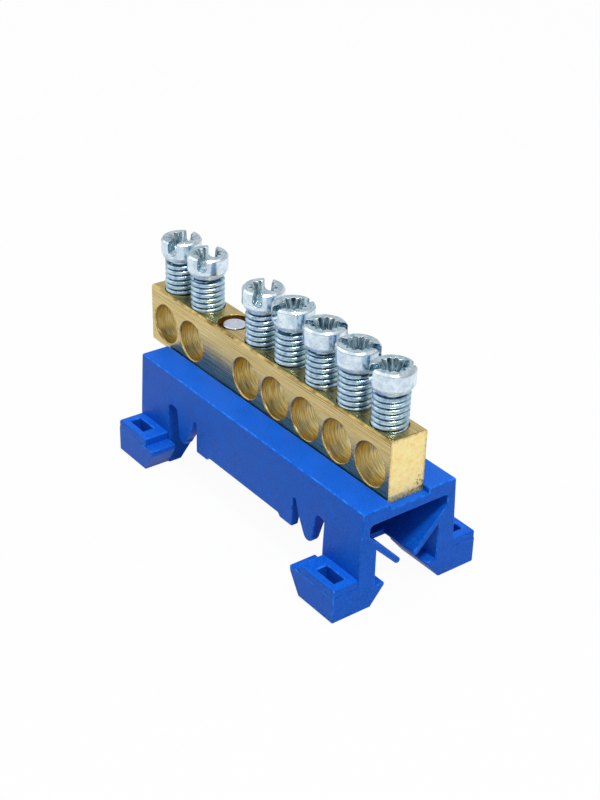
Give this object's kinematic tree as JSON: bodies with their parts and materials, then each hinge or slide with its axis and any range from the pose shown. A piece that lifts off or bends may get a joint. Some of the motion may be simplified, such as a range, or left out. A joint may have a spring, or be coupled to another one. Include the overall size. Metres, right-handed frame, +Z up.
{
  "type": "terminal block",
  "caption": "Brass bar with a row of wire holes and clamp screws, riveted on a moulded base whose feet grip a mounting rail.",
  "frame": {"origin": "middle of the moulded base, on the plane of the soles' undersides", "axes": "+X along the bar towards the end where the bar nearly meets the base's end, +Z up from the soles to the screw heads"},
  "size_m": [0.0572, 0.0242, 0.0319],
  "materials": {
    "base_plastic": "satin moulded plastic, fine grain",
    "bar_brass": "drawn brass, brushed along its length",
    "rivet_steel": "bright plated steel",
    "screw_steel": "bright zinc plating with a blue cast"
  },
  "bodies": {
    "bar_and_base": {"base": "base_plastic", "bus_bar": "bar_brass", "fixing_rivet": "rivet_steel"},
    "clamp_screw_1": {"clamp_screw_1": "screw_steel"},
    "clamp_screw_2": {"clamp_screw_2": "screw_steel"},
    "clamp_screw_4": {"clamp_screw_4": "screw_steel"},
    "clamp_screw_5": {"clamp_screw_5": "screw_steel"},
    "clamp_screw_6": {"clamp_screw_6": "screw_steel"},
    "clamp_screw_7": {"clamp_screw_7": "screw_steel"},
    "clamp_screw_8": {"clamp_screw_8": "screw_steel"}
  },
  "joints": [
    {"name": "screw_1_travel", "type": "slide", "parent": "bar_and_base", "child": "clamp_screw_1", "axis": [0, 0, -1], "range_m": [0, 0.0051]},
    {"name": "screw_2_travel", "type": "slide", "parent": "bar_and_base", "child": "clamp_screw_2", "axis": [0, 0, -1], "range_m": [0, 0.0051]},
    {"name": "screw_4_travel", "type": "slide", "parent": "bar_and_base", "child": "clamp_screw_4", "axis": [0, 0, -1], "range_m": [0, 0.00515]},
    {"name": "screw_5_travel", "type": "slide", "parent": "bar_and_base", "child": "clamp_screw_5", "axis": [0, 0, -1], "range_m": [0, 0.0053]},
    {"name": "screw_6_travel", "type": "slide", "parent": "bar_and_base", "child": "clamp_screw_6", "axis": [0, 0, -1], "range_m": [0, 0.00515]},
    {"name": "screw_7_travel", "type": "slide", "parent": "bar_and_base", "child": "clamp_screw_7", "axis": [0, 0, -1], "range_m": [0, 0.0052]},
    {"name": "screw_8_travel", "type": "slide", "parent": "bar_and_base", "child": "clamp_screw_8", "axis": [0, 0, -1], "range_m": [0, 0.00515]}
  ]
}
